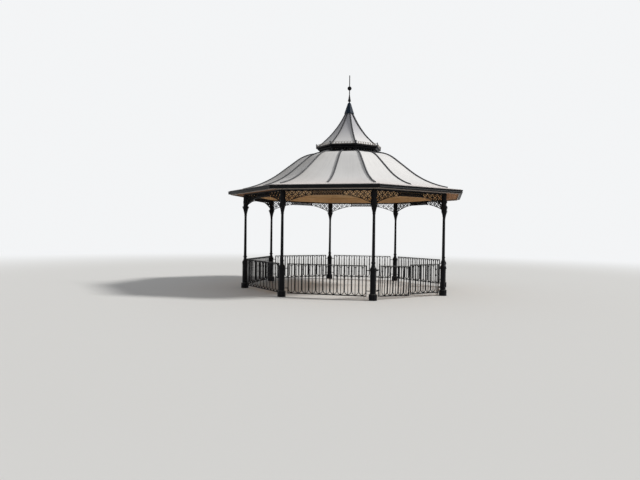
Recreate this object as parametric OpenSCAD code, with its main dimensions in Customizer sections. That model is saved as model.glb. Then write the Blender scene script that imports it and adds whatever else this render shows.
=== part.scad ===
// Octagonal park bandstand: cast iron columns, lace friezes and railings under an ogee sheet roof
// with a lantern ring, a concave spire and a finial.
// Millimetres, +Z up, origin on the ground at the centre of the octagon.
// The gate bay, bay 1, faces -Y. Bays are numbered anticlockwise from above.

/* [Plan] */
// Distance from the centre to each column's axis
column_ring_r = 3660; // [3200:10:4200]
// Reach of the eave beyond the column line, measured square to a bay
eave_reach = 573; // [450:1:700]
// Gap left in each mitre between two castings or two boards
mitre_gap = 0.6; // [0.4:0.1:2]

/* [Columns] */
// Height of a column, which is the underside of the ring beam
column_h = 3250; // [2900:10:3600]
// Width across flats of the octagonal foot
foot_w = 236; // [200:1:280]
// Height of the foot
foot_h = 180; // [120:1:240]
// Width across flats of the pedestal
pedestal_w = 170; // [140:1:190]
// Height of the top of the pedestal
pedestal_top = 860; // [760:1:900]
// Thickness of the flange that carries the collar
flange_h = 26; // [20:1:40]
// Reach of the flange beyond the pedestal
flange_reach = 22; // [14:1:30]
// Height of the top of the collar's bell
collar_top = 1025; // [980:1:1050]
// Height of the underside of the ring round the foot of the shaft
ring_foot = 1074; // [1055:1:1090]
// Height of that ring
ring_h = 53; // [30:1:70]
// Radius of the shaft at its foot
shaft_foot_r = 48; // [40:1:60]
// Radius of the shaft at its neck
shaft_neck_r = 40; // [34:1:50]
// Height of the capital's bell
bell_h = 290; // [200:1:350]
// Depth of the plain lip round the top of the bell
bell_lip = 14; // [8:1:24]
// Width across flats of the abacus on the bell
abacus_w = 216; // [180:1:240]
// Thickness of the abacus
abacus_t = 22; // [12:1:36]
// Width across flats of the head block between two friezes
head_w = 150; // [120:1:170]
// Radius of the round boss on the head block
boss_r = 42; // [25:1:55]

/* [Friezes] */
// Depth of a spandrel where it meets the column
spandrel_depth = 400; // [300:1:460]
// Length of a spandrel along the bay
spandrel_len = 850; // [600:1:950]
// Depth of the valance between the spandrels
valance_depth = 152; // [110:1:200]
// Rise of the arch edge above a straight line
arch_rise = 40; // [20:1:80]
// Thickness of the frieze castings
frieze_t = 20; // [12:1:30]
// Depth of the bar along the top of a casting
top_bar = 28; // [18:1:36]
// Width of the other bars that frame a casting
frieze_bar = 15; // [10:1:22]
// Radius of the interlaced rings in a spandrel
lace_r = 105; // [70:1:120]
// Width of each ring in the lace
lace_bar = 19; // [12:1:24]
// Spacing of the rings in the valance
loop_pitch = 79; // [66:1:110]
// Width of each ring in the valance
loop_ring_bar = 12; // [8:1:16]
// Depth of the solid band under the valance's rings
band_h = 50; // [36:1:70]
// Radius of the holes through that band
band_hole_r = 13; // [8:1:18]

/* [Railings] */
// Height of the top of the handrail
rail_top = 1022; // [950:1:1100]
// Depth of the handrail's section
rail_h = 22; // [15:1:35]
// Width of the handrail
rail_w = 44; // [30:1:60]
// Height of the underside of the bottom rail
rail_foot = 105; // [60:1:150]
// Depth of the bottom rail
foot_rail_h = 30; // [20:1:45]
// Width of the bottom rail
foot_rail_w = 22; // [14:1:36]
// Distance from a column's axis to the end bar of a railing
end_bar_inset = 204; // [180:1:240]
// Width of an end bar
end_bar = 24; // [16:1:32]
// Number of U loops in a railing panel
loop_count = 11; // [8:1:14]
// Width of the bar that the loops are bent from
loop_bar = 18; // [10:1:22]
// Depth of the bars through the railing
bar_t = 16; // [10:1:22]
// Height of the upper row of rosettes
rosette_hi = 845; // [780:1:900]
// Height of the lower row of rosettes
rosette_lo = 665; // [560:1:740]
// Radius of a rosette
rosette_r = 27; // [18:1:36]
// Thickness of the curved leaves under the handrail
leaf_bar = 11; // [7:1:16]
// Height of the lower fixing lug and hinge
lug_lo = 270; // [200:1:400]
// Depth of a fixing lug
lug_h = 22; // [14:1:26]

/* [Gates] */
// Distance from a column's axis to the gate's hinge pin
hinge_inset = 150; // [130:1:170]
// Gap between the two leaves where they meet
leaf_gap = 36; // [20:1:60]
// Radius of a hinge pin
pin_r = 9; // [6:0.5:12]
// Height of an eye
eye_h = 30; // [20:1:40]
// Radial clearance of the eye on its pin
pin_clear = 1; // [0.5:0.1:2]
// Angle by which the left leaf has dropped at its free end
leaf_sag = 2.1; // [0:0.1:2.4]
// Number of whole U loops in a leaf
leaf_loops = 5; // [4:1:7]
// Width of the half loop beside the heel stile
half_loop = 118; // [90:1:140]

/* [Eave] */
// Width of the timber ring beam
beam_w = 110; // [80:1:160]
// Thickness of the fascia board
fascia_t = 22; // [15:1:32]
// Drop of the fascia's lower edge below the top of the columns
fascia_drop = 15; // [5:1:60]
// Width of the gutter
gutter_w = 104; // [80:1:140]
// Rise of the gutter's underside above the top of the columns
gutter_rise = 8; // [2:1:30]
// Height of the gutter from its underside to its outer lip
gutter_h = 102; // [80:1:112]
// Radius of the round step along the gutter's foot
gutter_step = 24; // [14:1:34]
// Radius of the bead along the gutter's lip
lip_r = 11; // [7:1:16]
// Wall of the cast gutter
gutter_wall = 8; // [5:1:12]
// Rise of the soffit boards above the top of the columns
soffit_rise = 30; // [10:1:50]
// Thickness of the soffit boards
soffit_t = 18; // [12:1:25]

/* [Main roof] */
// Rise of the sheet's edge above the top of the columns
eave_rise = 130; // [125:1:200]
// Slope of the sheet at the eave, in degrees
eave_slope = 4.5; // [2:0.5:10]
// Steepest slope of the roof, in degrees
roof_slope = 39.7; // [35:0.1:44]
// Radius of the hollow foot of the roof
hollow_r = 2900; // [2600:10:3200]
// Radius of the round shoulder of the roof
shoulder_r = 1172; // [1000:1:1300]
// Thickness of the sheet on its boards
sheet_t = 30; // [20:1:40]
// Thickness of the ceiling boards
lining_t = 20; // [12:1:30]
// Width of the roll over each hip and seam
roll_w = 48; // [36:1:70]
// Height of the roll above the sheet
roll_h = 34; // [20:1:50]
// Distance from the sheet's edge to the foot of each hip roll, square to a bay
hip_stop = 420; // [100:1:600]
// Distance from the sheet's edge to the foot of each seam roll
seam_stop = 530; // [100:1:700]

/* [Lantern] */
// Half width across flats of the deck that the drum stands on
deck_a = 963; // [880:1:1040]
// Lap of the roof's sheets over the edge of that deck
deck_lap = 60; // [40:1:90]
// Height of the lantern's drum
drum_h = 122; // [90:1:180]
// Wall of the drum
drum_wall = 60; // [40:1:80]
// Vents in each side of the drum
vent_count = 7; // [5:1:9]
// Width of a vent
vent_w = 58; // [40:1:70]
// Reach of the cornice beyond the drum
cornice_reach = 115; // [80:1:150]
// Height of the cornice
cornice_h = 112; // [90:1:150]
// Height of the cresting above the cornice
cresting_h = 72; // [50:1:100]
// Thickness of the cresting
cresting_t = 10; // [6:1:16]
// Number of rings in each side of the cresting
cresting_loops = 9; // [7:1:11]

/* [Spire] */
// Distance of the spire's foot in from the cornice's rim
spire_inset = 54; // [40:1:90]
// Slope at the foot of the spire, in degrees
spire_slope = 39.5; // [36:0.5:43]
// Slope of the spire where it runs into the cap, in degrees
spire_top_slope = 67; // [62:0.5:72]
// Half width of the spire where it runs into the cap
spire_neck_a = 120; // [90:1:135]
// Thickness of the spire's sheet
spire_sheet_t = 20; // [12:1:30]
// Reach of the cap's foot beyond the spire
cap_reach = 45; // [40:1:70]
// Half width of the cap at its shoulder
cap_neck_a = 58; // [45:1:70]
// Height of the cap
cap_h = 400; // [340:1:460]

/* [Finial] */
// Radius of the finial's ball
ball_r = 74; // [55:1:90]
// Height of the ball's centre above the cap
ball_rise = 517; // [430:1:600]
// Height of the finial's point above the cap
finial_h = 985; // [850:1:1100]
// Radius of the finial's rod
rod_r = 16; // [10:1:20]

/* [Hidden] */
$fn = 48;
// Segments of a circle that is metres across
LARGE = 360;
// Straight steps along each curve of a roll
ROLL_STEPS = 8;
SIDES = 8;
HALF = 180 / SIDES;

iron = "#23262c";
sheet_grey = "#c9cacd";
board_brown = "#a9703c";
fascia_buff = "#b3a497";
cap_blue = "#2f3a48";
lace_buff = "#8f8579";

// Clearance between two pieces that only lie against each other
seat = 0.3;

column_a = column_ring_r * cos(HALF);
bay_half = column_ring_r * sin(HALF);
head_foot = column_h - spandrel_depth;
bell_top = head_foot - abacus_t;
neck_z = bell_top - bell_h;
frieze_half = bay_half - head_w / 2 - seat;
valance_half = frieze_half - spandrel_len;
frieze_fall = (spandrel_depth - valance_depth) / spandrel_len;

eave_a = column_a + eave_reach;
fascia_a = eave_a - gutter_w;
beam_in_a = column_a - beam_w / 2;
beam_out_a = column_a + beam_w / 2;
sheet_edge_a = eave_a - gutter_w / 2;
eave_z = column_h + eave_rise;
gutter_foot = column_h + gutter_rise;
gutter_lip = gutter_foot + gutter_h;
hip_foot_a = sheet_edge_a - hip_stop;
seam_foot_a = sheet_edge_a - seam_stop;
// Height of the beam and the fascia before the sheet above cuts them to its slope
upstand = 2 * eave_rise + beam_w;

hollow_c = [sheet_edge_a + hollow_r * sin(eave_slope), eave_z + hollow_r * cos(eave_slope)];
hollow_end = [hollow_c[0] - hollow_r * sin(roof_slope), hollow_c[1] - hollow_r * cos(roof_slope)];
straight_len = (hollow_end[0] - deck_a - shoulder_r * sin(roof_slope)) / cos(roof_slope);
straight_end = [deck_a + shoulder_r * sin(roof_slope), hollow_end[1] + straight_len * sin(roof_slope)];
shoulder_c = [deck_a, straight_end[1] - shoulder_r * cos(roof_slope)];
deck_z = shoulder_c[1] + shoulder_r;
deck_in_a = deck_a - deck_lap;

drum_a = deck_a + 25;
roll_top_a = drum_a + 16;
drum_top = deck_z + drum_h;
cornice_a = drum_a + cornice_reach;
cornice_top = drum_top + cornice_h;
spire_foot_z = cornice_top;
spire_foot_a = cornice_a - spire_inset;
spire_r = (spire_foot_a - spire_neck_a) / (sin(spire_top_slope) - sin(spire_slope));
spire_h = spire_r * (cos(spire_slope) - cos(spire_top_slope));
spire_c = [spire_foot_a + spire_r * sin(spire_slope), spire_foot_z + spire_r * cos(spire_slope)];
spire_top = spire_foot_z + spire_h;
cap_foot_a = spire_neck_a + cap_reach;
cap_top = spire_top + cap_h;

flange_r = pedestal_w / 2 + flange_reach;
lug_hi = pedestal_top + flange_h / 2;
panel_half = bay_half - end_bar_inset;
loop_pitch_rail = 2 * panel_half / loop_count;
heel = panel_half;
meet = leaf_gap / 2 + end_bar / 2;
pivot = bay_half - hinge_inset;
loop_top = rail_top - rail_h;
loop_foot = rail_foot + foot_rail_h;

// Longer than a side of the eave, and taller and wider than the whole roof
run = eave_a;
reach = 2 * column_ring_r;

// Flat outlines in a bay's own plane: x runs along the bay and y runs up.
module upright(thickness) {
    translate([0, -column_a, 0])
        rotate([90, 0, 0])
            linear_extrude(height = thickness, center = true)
                children();
}

// Carries a section, drawn with x as the distance out from the centre, along one bay.
module along_bay(length = run) {
    rotate([0, 0, -90])
        rotate([90, 0, 0])
            linear_extrude(height = length, center = true)
                children();
}

// The slice of the octagon that belongs to bay 1, less half of a mitre gap on each side.
module bay_slice(gap) {
    tip = gap / 2 / sin(HALF);
    translate([0, 0, -1])
        linear_extrude(height = reach + column_h)
            polygon([
                [0, -tip],
                [-reach * tan(HALF), -tip - reach],
                [reach * tan(HALF), -tip - reach]
            ]);
}

// Eight mitred lengths of one section.
module mitred(gap) {
    for (k = [0 : SIDES - 1])
        rotate([0, 0, 360 / SIDES * k])
            intersection() {
                along_bay() children();
                bay_slice(gap);
            }
}

module ring(r, bar) {
    difference() {
        circle(r = r);
        circle(r = r - bar);
    }
}

// Octagonal prism with a corner on +X.
module octagon(across, h) {
    cylinder(r = across / 2 / cos(HALF), h = h, $fn = SIDES);
}

// Column in its own place, with +X pointing away from the bandstand's centre.
module column_casting() {
    octagon(foot_w, foot_h);
    translate([0, 0, foot_h])
        octagon(pedestal_w, pedestal_top - foot_h);
    rotate_extrude()
        column_outline();
    translate([0, 0, bell_top])
        octagon(abacus_w, abacus_t);
    translate([0, 0, head_foot - 1])
        octagon(head_w, column_h - head_foot + 1);
    for (side = [0, 180])
        rotate([0, 0, side])
            translate([head_w / 2 - 20, 0, head_foot + 0.36 * spandrel_depth])
                rotate([0, 90, 0])
                    difference() {
                        cylinder(r = boss_r, h = 32);
                        translate([0, 0, 26])
                            cylinder(r = boss_r - 12, h = 7);
                    }
}

// Base moulding, collar, tapered shaft, necking and bell of a column, from the axis outwards.
module column_outline() {
    collar_r = flange_r - 10;
    collar_rim = 16;
    collar_foot = pedestal_top + flange_h - 1;
    collar_hollow_r = collar_top - collar_foot - collar_rim;
    shaft_z = ring_foot + ring_h;
    necking_h = 24;
    bell_r = abacus_w / 2 - 4;
    base_moulding();
    translate([0, pedestal_top])
        square([flange_r, flange_h]);
    difference() {
        translate([0, collar_foot])
            square([collar_r, collar_top - collar_foot]);
        translate([shaft_foot_r + 10 + collar_hollow_r, collar_top])
            circle(r = collar_hollow_r);
    }
    translate([0, collar_top - 1])
        square([shaft_foot_r + 3, shaft_z - collar_top + 1]);
    translate([0, ring_foot])
        square([shaft_foot_r + 10, ring_h]);
    translate([shaft_foot_r + 2, ring_foot + ring_h / 2])
        circle(r = ring_h / 3);
    polygon([
        [0, shaft_z - 1],
        [shaft_foot_r, shaft_z - 1],
        [shaft_neck_r, neck_z + 1],
        [0, neck_z + 1]
    ]);
    translate([0, neck_z - necking_h / 2])
        square([shaft_neck_r + 6, necking_h]);
    translate([shaft_neck_r + 4, neck_z])
        circle(r = necking_h / 3);
    difference() {
        translate([0, neck_z])
            square([bell_r, bell_h + 1]);
        translate([shaft_neck_r + bell_hollow_r(bell_r), neck_z])
            circle(r = bell_hollow_r(bell_r), $fn = 96);
    }
}

// Sloping moulding between the foot and the pedestal, and the astragal under the flange.
module base_moulding() {
    moulding_r = (foot_w - pedestal_w) / 2 - 6;
    difference() {
        translate([0, foot_h - 1])
            square([foot_w / 2 - 4, moulding_r + 1]);
        translate([foot_w / 2 - 4, foot_h + moulding_r])
            circle(r = moulding_r);
    }
    translate([0, pedestal_top - 40])
        square([pedestal_w / 2 + 8, 14]);
}

// Radius of a round hollow that starts upright at the neck and reaches the bell's rim.
function bell_hollow_r(rim) =
    (pow(rim - shaft_neck_r, 2) + pow(bell_h - bell_lip, 2)) / (2 * (rim - shaft_neck_r));

// Lug and upright pin that a gate's eye drops over, standing on a pedestal's flat.
module gudgeon(z) {
    translate([pedestal_w / 2 - 6, -14, z - 16])
        cube([hinge_inset - pedestal_w / 2 + 6, 28, 16]);
    translate([hinge_inset, 0, z - 16])
        cylinder(r = 19, h = 16);
    translate([hinge_inset, 0, z - 1])
        cylinder(r = pin_r, h = eye_h + 9);
}

module column(k) {
    color(iron)
        rotate([0, 0, -90 + HALF + 360 / SIDES * (k - 1)])
            translate([column_ring_r, 0, 0]) {
                column_casting();
                if (k == 1)
                    for (z = [lug_lo, lug_hi])
                        rotate([0, 0, -90 - HALF])
                            gudgeon(z);
                if (k == SIDES)
                    for (z = [lug_lo, lug_hi])
                        rotate([0, 0, 90 + HALF])
                            gudgeon(z);
            }
}

// Lace spandrel at the right end of a bay, with y measured down from the beam.
module spandrel_area(grow = 0) {
    foot = [frieze_half, -spandrel_depth];
    tip = [valance_half, -valance_depth];
    chord = norm(foot - tip);
    arch_r = (chord * chord / 4 + arch_rise * arch_rise) / (2 * arch_rise);
    along = (foot - tip) / chord;
    below = [along[1], -along[0]];
    centre = (foot + tip) / 2 + (arch_r - arch_rise) * below;
    difference() {
        translate([valance_half + seat, -spandrel_depth])
            square([spandrel_len - seat, spandrel_depth]);
        translate(centre)
            circle(r = arch_r + grow, $fn = LARGE);
    }
}

// Rings in two sets that touch in rows, each set's rings centred in the other's spaces.
module interlaced_rings() {
    for (row = [0 : ceil(spandrel_depth / lace_r)])
        for (column = [0 : ceil(spandrel_len / lace_r)])
            if ((row + column) % 2 == 0)
                if ((row - 1) * lace_r < spandrel_depth - column * lace_r * frieze_fall)
                    translate([-column * lace_r, -row * lace_r])
                        ring(lace_r + lace_bar / 2, lace_bar);
}

module spandrel() {
    difference() {
        spandrel_area();
        intersection() {
            spandrel_area(frieze_bar);
            translate([valance_half + frieze_bar, -spandrel_depth - 1])
                square([spandrel_len - 2 * frieze_bar, spandrel_depth - top_bar + 1]);
        }
    }
    intersection() {
        spandrel_area(frieze_bar / 2);
        translate([frieze_half - frieze_bar, -top_bar])
            interlaced_rings();
    }
}

// Row of rings over a pierced band, with a lily of two slanting leaves in each ring.
module valance() {
    loops = floor(2 * valance_half / loop_pitch);
    step = 2 * valance_half / loops;
    ring_r = step / 2 + 2;
    ring_y = -top_bar - ring_r + 4;
    translate([-valance_half, -top_bar])
        square([2 * valance_half, top_bar]);
    difference() {
        translate([-valance_half, -valance_depth])
            square([2 * valance_half, band_h]);
        for (i = [0 : loops - 1])
            translate([-valance_half + (i + 0.5) * step, -valance_depth + band_h / 2])
                circle(r = band_hole_r);
    }
    for (side = [-valance_half, valance_half - frieze_bar])
        translate([side, -valance_depth])
            square([frieze_bar, valance_depth]);
    intersection() {
        for (i = [0 : loops - 1])
            translate([-valance_half + (i + 0.5) * step, ring_y]) {
                ring(ring_r, loop_ring_bar);
                for (side = [-1, 1])
                    translate([side * ring_r * 1.1, -ring_r * 0.55])
                        ring(ring_r * 1.1 + loop_ring_bar / 3, loop_ring_bar * 0.66);
            }
        translate([-valance_half, -valance_depth + band_h / 2])
            square([2 * valance_half, valance_depth - band_h / 2]);
        for (i = [0 : loops - 1])
            translate([-valance_half + (i + 0.5) * step, ring_y])
                circle(r = ring_r);
    }
}

module frieze(k) {
    color(iron)
        rotate([0, 0, 360 / SIDES * (k - 1)])
            upright(frieze_t)
                translate([0, column_h]) {
                    spandrel();
                    mirror([1, 0]) spandrel();
                    valance();
                }
}

// One U loop with its middle bar, standing on the bottom rail.
module u_loop(pitch) {
    bend_r = pitch / 2 - 2;
    bend_z = loop_foot + bend_r - 2;
    difference() {
        union() {
            translate([0, bend_z])
                circle(r = bend_r);
            translate([-bend_r, bend_z])
                square([2 * bend_r, loop_top - bend_z + 1]);
        }
        translate([0, bend_z])
            circle(r = bend_r - loop_bar);
        translate([-bend_r + loop_bar, bend_z])
            square([2 * (bend_r - loop_bar), loop_top - bend_z + 2]);
    }
    translate([-loop_bar / 2, bend_z - bend_r + 2])
        square([loop_bar, loop_top - bend_z + bend_r - 1]);
    lily(bend_r);
}

// Two leaves that curl out of a loop's middle bar to its sides, just under the handrail.
module lily(reach_out) {
    curl_r = reach_out - 2;
    intersection() {
        for (side = [-1, 1])
            translate([side * curl_r, loop_top - curl_r])
                ring(curl_r + leaf_bar / 2, leaf_bar);
        translate([-curl_r, loop_top - curl_r])
            square([2 * curl_r, curl_r + 1]);
    }
}

// Rosettes that clip two neighbouring bars together at both rows.
module rosettes(x) {
    for (z = [rosette_hi, rosette_lo])
        translate([x, z])
            ring(rosette_r, rosette_r - 8);
}

// Round-topped handrail and square bottom rail, on the line of the bay.
module rails(from, to) {
    crown_r = rail_w / 2 + 2;
    translate([(from + to) / 2, 0, 0])
        along_bay(to - from)
            intersection() {
                translate([-rail_w / 2, rail_top - rail_h])
                    square([rail_w, rail_h]);
                translate([0, rail_top - crown_r])
                    circle(r = crown_r);
            }
    translate([from, -foot_rail_w / 2, rail_foot])
        cube([to - from, foot_rail_w, foot_rail_h]);
}

// Lug that ties a railing's end bar to a column's face, at a distance from the column's axis.
module fixing_lug(z, face) {
    translate([panel_half, -bar_t / 2, z - lug_h / 2])
        cube([end_bar_inset - face - seat, bar_t, lug_h]);
}

module railing(k) {
    color(iron)
        rotate([0, 0, 360 / SIDES * (k - 1)]) {
            translate([0, -column_a, 0])
                rails(-panel_half - end_bar / 2, panel_half + end_bar / 2);
            upright(bar_t) {
                for (i = [0 : loop_count - 1])
                    translate([-panel_half + (i + 0.5) * loop_pitch_rail, 0])
                        u_loop(loop_pitch_rail);
                for (i = [1 : loop_count - 1])
                    rosettes(-panel_half + i * loop_pitch_rail);
            }
            upright(bar_t + 6)
                for (side = [-1, 1])
                    translate([side * panel_half - end_bar / 2, rail_foot])
                        square([end_bar, loop_top - rail_foot]);
            for (side = [0, 180])
                translate([0, -column_a, 0])
                    rotate([0, 0, side]) {
                        fixing_lug(lug_lo, pedestal_w / 2);
                        fixing_lug(lug_hi, flange_r);
                    }
        }
}

// Frame and loops of the leaf on the right-hand side of bay 1.
module leaf_frame() {
    pitch = (heel - half_loop - meet) / leaf_loops;
    translate([0, -column_a, 0])
        rails(meet - end_bar / 2, heel + end_bar / 2);
    upright(bar_t) {
        for (i = [0 : leaf_loops - 1])
            translate([meet + (i + 0.5) * pitch, 0])
                u_loop(pitch);
        translate([heel - half_loop / 2 - loop_bar / 2, loop_foot - 1])
            square([loop_bar, loop_top - loop_foot + 2]);
        for (i = [1 : leaf_loops])
            rosettes(meet + i * pitch);
    }
    upright(bar_t + 6)
        for (x = [meet, heel])
            translate([x - end_bar / 2, rail_foot])
                square([end_bar, loop_top - rail_foot]);
}

// Leaf that has dropped by an angle about its lower pin, with eyes that still hang upright.
module leaf(sag) {
    lean = (lug_hi - lug_lo) * tan(sag);
    arm = pivot - heel + lean + 4;
    translate([pivot, 0, lug_lo])
        rotate([0, -sag, 0])
            translate([-pivot, 0, -lug_lo])
                leaf_frame();
    for (z = [lug_lo, lug_hi])
        translate([pivot, -column_a, z + seat])
            difference() {
                union() {
                    cylinder(r = pin_r + 11, h = eye_h);
                    translate([-arm, -bar_t / 2, 0])
                        cube([arm, bar_t, eye_h]);
                }
                translate([0, 0, -1])
                    cylinder(r = pin_r + pin_clear, h = eye_h + 2);
            }
}

module gate_leaf_right() {
    color(iron) leaf(0);
}

module gate_leaf_left() {
    color(iron) mirror([1, 0, 0]) leaf(leaf_sag);
}

module ring_beam() {
    color(iron)
        mitred(mitre_gap)
            difference() {
                translate([beam_in_a, column_h])
                    square([beam_w, upstand]);
                translate(hollow_c)
                    circle(r = hollow_r + sheet_t + lining_t + 2 * seat, $fn = LARGE);
            }
}

module fascia() {
    color(fascia_buff)
        mitred(mitre_gap)
            difference() {
                translate([fascia_a - fascia_t, column_h - fascia_drop])
                    square([fascia_t, upstand]);
                translate(hollow_c)
                    circle(r = hollow_r + sheet_t + seat, $fn = LARGE);
            }
}

// Cast gutter with a low flat back under the sheet, an ogee face and a bead along its lip.
module gutter() {
    face_a = eave_a - lip_r;
    step_a = face_a - gutter_step;
    color(iron)
        mitred(mitre_gap)
            difference() {
                union() {
                    translate([fascia_a + seat, gutter_foot])
                        square([step_a - fascia_a - seat, gutter_lip - gutter_foot]);
                    translate([step_a, gutter_foot + gutter_step])
                        circle(r = gutter_step);
                    translate([step_a, gutter_foot + gutter_step])
                        square([gutter_step - 6, gutter_lip - gutter_foot - gutter_step - lip_r]);
                    translate([face_a, gutter_lip - lip_r])
                        circle(r = lip_r);
                }
                translate([fascia_a + gutter_wall, gutter_foot + gutter_wall])
                    square([step_a - fascia_a - 2 * gutter_wall + 6, 2 * gutter_lip]);
                translate([fascia_a, eave_z - sheet_t - seat])
                    square([sheet_edge_a - fascia_a, 2 * sheet_t]);
            }
}

module soffit_boards() {
    color(board_brown)
        mitred(mitre_gap)
            translate([beam_out_a + seat, column_h + soffit_rise])
                square([fascia_a - fascia_t - beam_out_a - 2 * seat, soffit_t]);
}

// Band of the main roof between two heights above the sheet's outer face, as seen in section.
module roof_band(low, high, from_a, to_a) {
    intersection() {
        union() {
            difference() {
                translate(hollow_c) circle(r = hollow_r - low, $fn = LARGE);
                translate(hollow_c) circle(r = hollow_r - high, $fn = LARGE);
                roof_side(hollow_end, -1);
            }
            translate(hollow_end)
                rotate(180 - roof_slope)
                    translate([0, -high])
                        square([straight_len, high - low]);
            difference() {
                translate(shoulder_c) circle(r = shoulder_r + high, $fn = LARGE);
                translate(shoulder_c) circle(r = shoulder_r + low, $fn = LARGE);
                roof_side(straight_end, 1);
                translate([-reach, -reach])
                    square([reach + deck_a, 3 * reach]);
            }
            translate([0, deck_z + low])
                square([deck_a + 1, high - low]);
        }
        translate([from_a, 0])
            square([to_a - from_a, reach]);
    }
}

// Half plane square to the roof's straight stretch: side 1 is down the slope, side -1 is up it.
module roof_side(point, side) {
    translate(point)
        rotate(-roof_slope)
            translate([side > 0 ? 0 : -reach, -reach])
                square([reach, 2 * reach]);
}

module roof_panels() {
    color(sheet_grey)
        mitred(mitre_gap)
            roof_band(-sheet_t, 0, deck_in_a, sheet_edge_a);
}

module ceiling_boards() {
    color(board_brown)
        mitred(mitre_gap)
            roof_band(-sheet_t - seat - lining_t, -sheet_t - seat, 0, beam_out_a);
}

// Angles that share an arc from one slope to another into equal steps.
function slopes(from, to, steps) = [for (i = [0 : steps]) from + (to - from) * i / steps];

// Points of the main roof's section between two half widths, raised square to its face.
function roof_line(rise, foot_a, top_a) =
    let (
        hollow_rise = hollow_r - rise,
        shoulder_rise = shoulder_r + rise,
        foot_slope = asin((hollow_c[0] - foot_a) / hollow_rise),
        top_slope = asin((top_a - shoulder_c[0]) / shoulder_rise)
    )
    concat(
        [for (t = slopes(foot_slope, roof_slope, ROLL_STEPS))
            [hollow_c[0] - hollow_rise * sin(t), hollow_c[1] - hollow_rise * cos(t)]],
        [for (t = slopes(roof_slope, top_slope, ROLL_STEPS))
            [shoulder_c[0] + shoulder_rise * sin(t), shoulder_c[1] + shoulder_rise * cos(t)]]
    );

// Points of the spire's section, raised square to its face, from its foot up.
function spire_line(rise) =
    let (top_slope = acos((spire_c[1] - spire_top) / (spire_r - rise)))
    [for (t = slopes(spire_slope, top_slope, ROLL_STEPS))
        [spire_c[0] - (spire_r - rise) * sin(t), spire_c[1] - (spire_r - rise) * cos(t)]];

function reversed(list) = [for (i = [len(list) - 1 : -1 : 0]) list[i]];

// Widens a section's points from the middle of a face to a hip.
function at_hip(list) = [for (p = list) [p[0] / cos(HALF), p[1]]];

// A roll on a hip, bent along the line between its underside and its crown.
module hip_roll(under, shoulder, crown) {
    along_bay(roll_w)
        polygon(concat(under, reversed(shoulder)));
    along_bay(roll_w * 0.55)
        polygon(concat(under, reversed(crown)));
}

// A roll over the seam in the middle of a face.
module seam_roll() {
    along_bay(roll_w)
        roof_band(seat, roll_h * 0.6, roll_top_a, seam_foot_a);
    along_bay(roll_w * 0.55)
        roof_band(seat, roll_h, roll_top_a, seam_foot_a);
}

module roof_rolls() {
    under = at_hip(roof_line(3 * seat, hip_foot_a, roll_top_a));
    shoulder = at_hip(roof_line(roll_h * 0.6, hip_foot_a, roll_top_a));
    crown = at_hip(roof_line(roll_h, hip_foot_a, roll_top_a));
    color(iron)
        for (k = [0 : SIDES - 1]) {
            rotate([0, 0, 2 * HALF * k])
                seam_roll();
            rotate([0, 0, 2 * HALF * (k + 0.5)])
                hip_roll(under, shoulder, crown);
        }
}

// Boarded floor of the lantern, inside the ring that the roof's sheets make.
module lantern_deck() {
    color(board_brown)
        translate([0, 0, deck_z - sheet_t])
            rotate([0, 0, HALF])
                octagon(2 * (deck_in_a - seat), sheet_t);
}

module lantern_drum() {
    side = 2 * drum_a * tan(HALF);
    pitch = side / (vent_count + 0.6);
    plinth = [14, 18];
    vent_sill = 30;
    vent_head = 14;
    color(iron) {
        for (k = [0 : SIDES - 1])
            rotate([0, 0, 360 / SIDES * k])
                difference() {
                    intersection() {
                        along_bay()
                            union() {
                                translate([drum_a - drum_wall, deck_z])
                                    square([drum_wall, drum_h]);
                                translate([drum_a - drum_wall, deck_z])
                                    square([drum_wall + plinth[0], plinth[1]]);
                            }
                        bay_slice(mitre_gap);
                    }
                    for (i = [0 : vent_count - 1])
                        translate([(i - (vent_count - 1) / 2) * pitch - vent_w / 2, -drum_a, deck_z + vent_sill])
                            translate([0, -plinth[0] - 1, 0])
                                cube([vent_w, 2 * drum_wall, drum_h - vent_sill - vent_head]);
                }
    }
}

module lantern_cornice() {
    hollow = cornice_h - 48;
    color(iron)
        mitred(mitre_gap)
            difference() {
                translate([drum_a - drum_wall, drum_top])
                    square([cornice_a - drum_a + drum_wall, cornice_h]);
                translate([cornice_a - 8, drum_top + 2])
                    circle(r = hollow);
                translate([cornice_a - 8, drum_top - 1])
                    square([20, hollow]);
            }
}

module lantern_cresting() {
    line_a = cornice_a - 12;
    side = 2 * line_a * tan(HALF);
    pitch = side / cresting_loops;
    ring_r = 0.42 * pitch;
    color(lace_buff)
        for (k = [0 : SIDES - 1])
            rotate([0, 0, 360 / SIDES * k]) {
                intersection() {
                    translate([0, column_a - line_a, cornice_top])
                        upright(cresting_t) {
                            translate([-side, 0])
                                square([2 * side, 10]);
                            for (i = [0 : cresting_loops - 1])
                                translate([(i - (cresting_loops - 1) / 2) * pitch, ring_r])
                                    ring(ring_r, 9);
                            for (i = [0 : cresting_loops])
                                translate([(i - cresting_loops / 2) * pitch - 4, 0])
                                    square([8, cresting_h]);
                        }
                    bay_slice(0);
                }
                rotate([0, 0, HALF])
                    translate([0, -line_a / cos(HALF), cornice_top]) {
                        cylinder(r = cresting_t + 4, h = cresting_h + 8);
                        translate([0, 0, cresting_h + 18])
                            sphere(r = 20);
                    }
            }
}

module spire_band(low, high) {
    intersection() {
        difference() {
            translate(spire_c) circle(r = spire_r - low, $fn = LARGE);
            translate(spire_c) circle(r = spire_r - high, $fn = LARGE);
        }
        translate([0, spire_foot_z])
            square([spire_foot_a + 100, spire_h]);
    }
}

module spire_panels() {
    color(sheet_grey)
        mitred(mitre_gap)
            spire_band(-spire_sheet_t, 0);
}

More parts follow.
